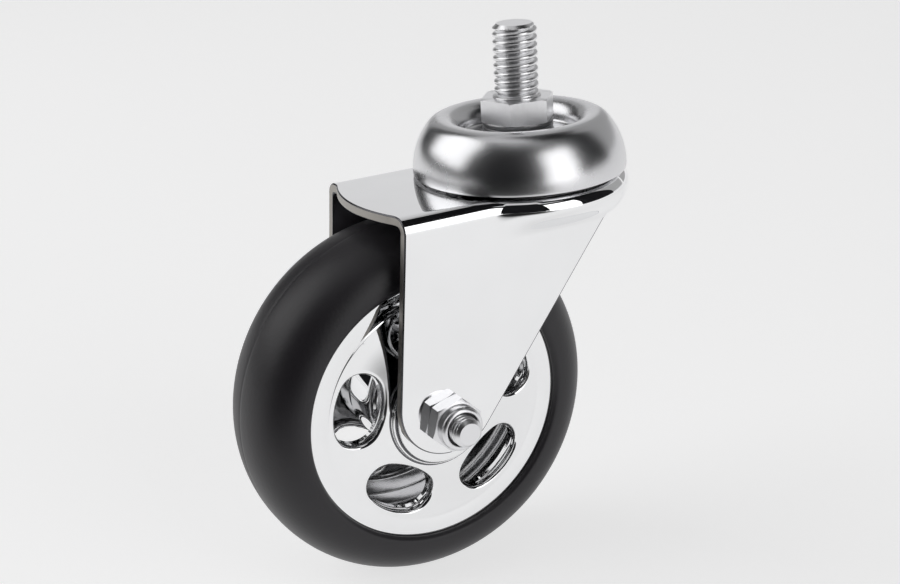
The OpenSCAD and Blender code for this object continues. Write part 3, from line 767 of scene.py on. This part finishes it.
def seen_directly(tree):
    """One for rays from the camera and for mirrored ones, nothing for the light on the castor."""
    rays = add_node(tree, "LightPath")
    shown = add_node(tree, "Math", operation="MAXIMUM")
    tree.links.new(rays.outputs["Is Camera Ray"], shown.inputs[0])
    tree.links.new(rays.outputs["Is Glossy Ray"], shown.inputs[1])
    return rays, shown.outputs[0]


def matt(name, colour, shown_strength):
    """Matt paper or cloth that keeps its shadows; the camera and polished metal see it paler."""
    material = bpy.data.materials.new(name)
    material.use_nodes = True
    tree = material.node_tree
    shader = tree.nodes["Principled BSDF"]
    shader.inputs["Base Color"].default_value = (*colour, 1)
    shader.inputs["Roughness"].default_value = 0.95
    shader.inputs["Specular IOR Level"].default_value = 0.1
    shader.inputs["Emission Color"].default_value = (1, 1, 1, 1)
    rays, shown = seen_directly(tree)
    lift = add_node(tree, "Math", operation="MULTIPLY")
    lift.inputs[1].default_value = shown_strength
    tree.links.new(shown, lift.inputs[0])
    tree.links.new(lift.outputs[0], shader.inputs["Emission Strength"])
    return material, rays, lift


def darken_end(material, rays, lift, colour, middle, radius, soft):
    """Lets polished metal see one round end of the table dark; the camera sees the whole table pale."""
    tree = material.node_tree
    shader = tree.nodes["Principled BSDF"]
    place = add_node(tree, "TexCoord")
    centred = add_node(tree, "Mapping", {"Location": (-middle[0], -middle[1], -table_z)})
    tree.links.new(place.outputs["Object"], centred.inputs["Vector"])
    away = add_node(tree, "VectorMath", operation="LENGTH")
    tree.links.new(centred.outputs["Vector"], away.inputs[0])
    border = {"From Min": radius - soft, "From Max": radius + soft}
    fall = add_node(tree, "MapRange", border, interpolation_type="SMOOTHSTEP")
    tree.links.new(away.outputs["Value"], fall.inputs["Value"])
    pale = add_node(tree, "Math", operation="MAXIMUM")
    tree.links.new(fall.outputs["Result"], pale.inputs[0])
    tree.links.new(rays.outputs["Is Camera Ray"], pale.inputs[1])
    cut = add_node(tree, "Math", operation="MULTIPLY")
    tree.links.new(lift.outputs[0], cut.inputs[0])
    tree.links.new(pale.outputs[0], cut.inputs[1])
    tree.links.new(cut.outputs[0], shader.inputs["Emission Strength"])
    tone = add_node(tree, "Mix", {"A": (0.04, 0.04, 0.04, 1), "B": (*colour, 1)}, data_type="RGBA")
    tree.links.new(pale.outputs[0], tone.inputs["Factor"])
    tree.links.new(tone.outputs["Result"], shader.inputs["Base Color"])


def staged(bm, name, material, seen_by_camera=True):
    """Turns a bmesh in metres into a part of the studio."""
    mesh = bpy.data.meshes.new(name)
    bm.to_mesh(mesh)
    bm.free()
    mesh.materials.append(material)
    card = bpy.data.objects.new(name, mesh)
    bpy.context.scene.collection.objects.link(card)
    card.visible_camera = seen_by_camera


def flat_card(name, size, middle, material, seen_by_camera=True):
    """A level square of the studio, which reaches size to each side of its middle."""
    bm = bmesh.new()
    bmesh.ops.create_grid(bm, x_segments=1, y_segments=1, size=size)
    bmesh.ops.translate(bm, verts=bm.verts, vec=middle)
    staged(bm, name, material, seen_by_camera)


paper_colour, dark_end_at, dark_end_r, dark_end_soft = (0.50, 0.50, 0.505), toward(-20, 0.75), 0.59, 0.06
white_paper, paper_rays, paper_lift = matt("white_paper", paper_colour, 0.68)
darken_end(white_paper, paper_rays, paper_lift, paper_colour, dark_end_at, dark_end_r, dark_end_soft)
dark_cloth = matt("dark_cloth", (0.05, 0.05, 0.055), 0.0)[0]
grey_cloth = matt("grey_cloth", (0.35, 0.35, 0.355), 0.30)[0]
flat_card("table", 4, (0, 0, table_z), white_paper)
flat_card("ceiling", 0.9, (0.95, -0.3, 2.0), dark_cloth, False)


def curtain(name, start, end, distance, low, high, cloth=dark_cloth):
    """An upright curtain round the table, from one bearing to another."""
    bm = bmesh.new()
    foot_dot, head_dot = [bm.verts.new((*toward(start, distance), z)) for z in (low, high)]
    edge = bm.edges.new((foot_dot, head_dot))
    bmesh.ops.spin(bm, geom=[foot_dot, head_dot, edge], **about_z(end - start, 24))
    staged(bm, name, cloth, False)


curtain("curtain_left", -152, -50, 1.5, table_z + 0.1, 2.6)
curtain("curtain_front", -50, 22, 1.3, table_z + 0.002, 2.2)
curtain("curtain_middle", 22, 68, 1.4, table_z + 0.1, 1.9)
curtain("curtain_right", 68, 108, 1.3, table_z + 0.1, 1.9)
curtain("curtain_rear_right", 108, 166, 1.5, 0.08, 2.6, grey_cloth)
curtain("curtain_rear_left", -172, -152, 1.5, 0.08, 2.6, grey_cloth)

world = bpy.data.worlds.new("studio")
bpy.context.scene.world = world
world.use_nodes = True
tree = world.node_tree
tree.nodes.clear()
soft_light = add_node(tree, "Background", {"Color": (1, 1, 1, 1), "Strength": 0.35})
room = add_node(tree, "Background")
height = add_node(tree, "SeparateXYZ")
tree.links.new(add_node(tree, "TexCoord").outputs["Generated"], height.inputs[0])
fade = add_node(tree, "ValToRGB")
marks = fade.color_ramp.elements
for stop, grey in ((0.0, 0.83), (0.12, 0.78), (0.34, 0.66), (0.5, 0.60), (0.72, 0.56)):
    marks.new(stop).color = (grey, grey, grey * 1.01, 1)
marks.remove(marks[0])
marks.remove(marks[-1])
tree.links.new(height.outputs["Z"], fade.inputs[0])
tree.links.new(fade.outputs[0], room.inputs["Color"])
blend_in = add_node(tree, "MixShader")
tree.links.new(seen_directly(tree)[1], blend_in.inputs[0])
tree.links.new(soft_light.outputs[0], blend_in.inputs[1])
tree.links.new(room.outputs[0], blend_in.inputs[2])
tree.links.new(blend_in.outputs[0], add_node(tree, "OutputWorld").inputs[0])


def softbox(name, bearing, distance, low, high, width, strength):
    """A softbox at a bearing from the camera's side, upright between two heights, tilted to the castor."""
    place = Vector((*toward(bearing, distance), (low + high) / 2))
    lamp = bpy.data.lights.new(name, "AREA")
    lamp.shape, lamp.size, lamp.size_y = "RECTANGLE", width, high - low
    lamp.energy = strength * math.pi * width * (high - low)
    holder = bpy.data.objects.new(name, lamp)
    bpy.context.scene.collection.objects.link(holder)
    holder.location = place
    holder.rotation_euler = (Vector((0, 0, place.z * 0.6)) - place).to_track_quat("-Z", "Y").to_euler()
    holder.visible_camera = False


softbox("softbox_left", -95, 0.9, 0.2, 1.25, 1.05, 1.45)
softbox("softbox_right", 44, 0.9, -0.06, 0.8, 0.62, 1.6)

scene = bpy.context.scene
scene.view_settings.view_transform = "Standard"
